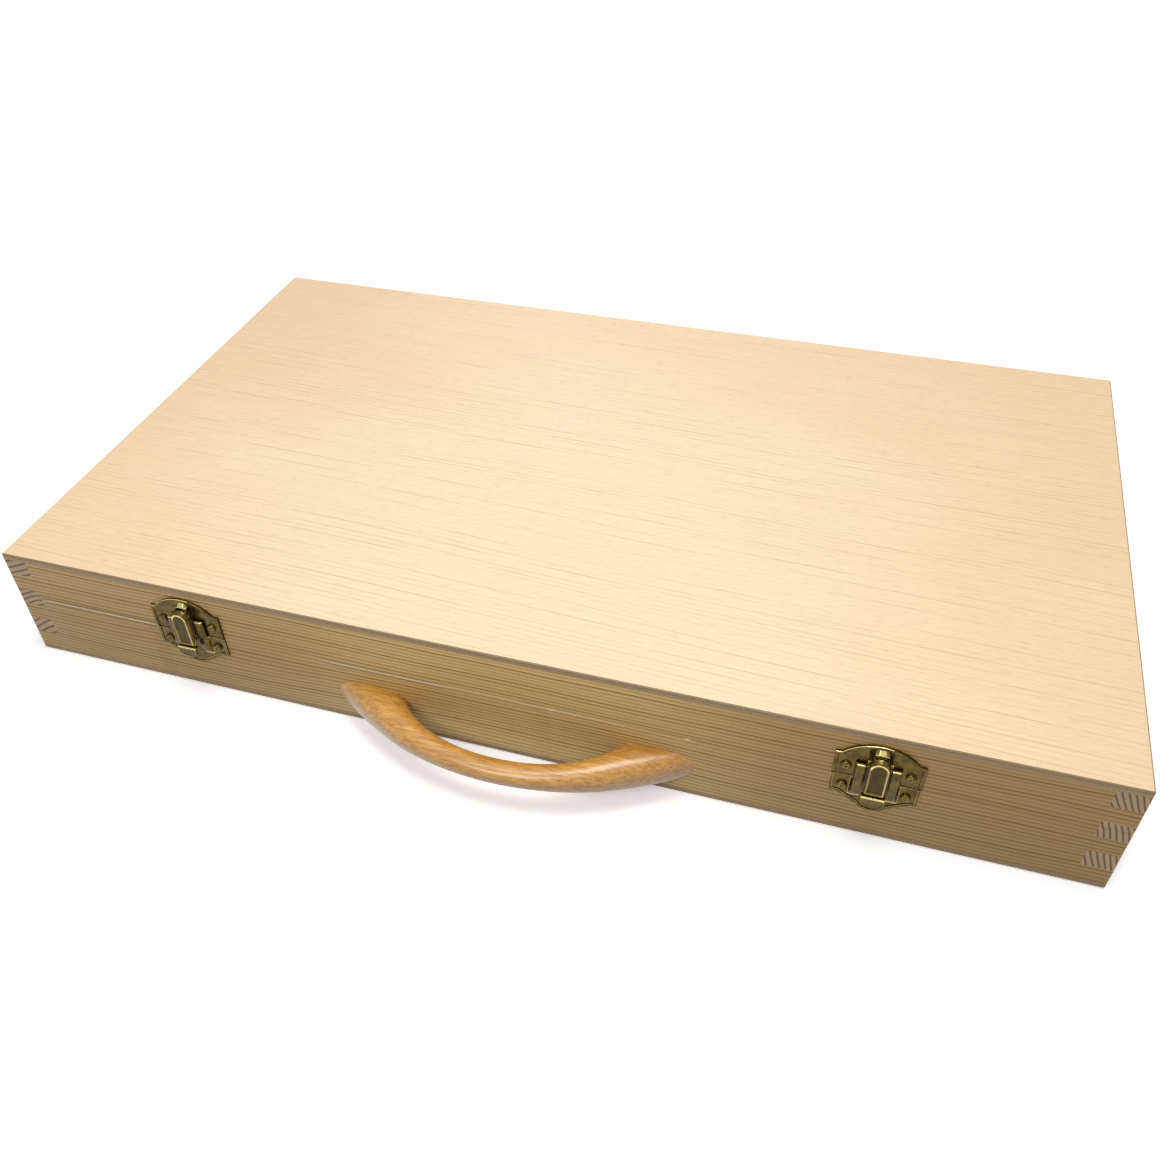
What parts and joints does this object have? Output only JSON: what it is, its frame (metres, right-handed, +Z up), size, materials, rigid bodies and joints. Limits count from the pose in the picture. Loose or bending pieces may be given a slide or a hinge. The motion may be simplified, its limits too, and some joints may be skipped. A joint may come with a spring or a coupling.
{
  "type": "brush box with hinged lid",
  "caption": "Flat rectangular wooden case with finger-jointed corners, a rear-hinged lid, brass hasp latches and an arched wooden carry handle on the front.",
  "frame": {"origin": "centre of the flat underside", "axes": "+X along the long side to the right as seen from the front, +Y from the front (handle and latches) to the back (hinges), +Z up"},
  "size_m": [0.4, 0.2621, 0.0494],
  "materials": {
    "birch_plywood": "satin",
    "pine": "satin",
    "beech": "gloss",
    "brass": "polished",
    "zinc_steel": "satin"
  },
  "bodies": {
    "base": {"base_panel": "birch_plywood", "base_front_board": "pine", "base_back_board": "pine", "base_left_board": "pine", "base_right_board": "pine", "handle": "beech", "handle_screws": "zinc_steel", "left_latch_lower_plate": "brass", "left_latch_lower_screws": "brass", "left_hinge_base_leaf": "brass", "left_hinge_pin": "brass", "right_latch_lower_plate": "brass", "right_latch_lower_screws": "brass", "right_hinge_base_leaf": "brass", "right_hinge_pin": "brass"},
    "lid": {"lid_panel": "birch_plywood", "lid_front_board": "pine", "lid_back_board": "pine", "lid_left_board": "pine", "lid_right_board": "pine", "left_latch_upper_plate": "brass", "left_latch_upper_screws": "brass", "left_hasp_pin": "brass", "left_hinge_lid_leaf": "brass", "right_latch_upper_plate": "brass", "right_latch_upper_screws": "brass", "right_hasp_pin": "brass", "right_hinge_lid_leaf": "brass"},
    "left_hasp": {"left_latch_hasp": "brass"},
    "right_hasp": {"right_latch_hasp": "brass"}
  },
  "joints": [
    {"name": "lid_hinge", "type": "hinge", "parent": "base", "child": "lid", "pos_m": [0, 0.1193, 0.0292], "axis": [-1, 0, 0], "range_deg": [0, 180]},
    {"name": "left_hasp_hinge", "type": "hinge", "parent": "lid", "child": "left_hasp", "pos_m": [-0.124, -0.1198, 0.0398], "axis": [-1, 0, 0], "range_deg": [0, 75]},
    {"name": "right_hasp_hinge", "type": "hinge", "parent": "lid", "child": "right_hasp", "pos_m": [0.124, -0.1198, 0.0398], "axis": [-1, 0, 0], "range_deg": [0, 75]}
  ]
}
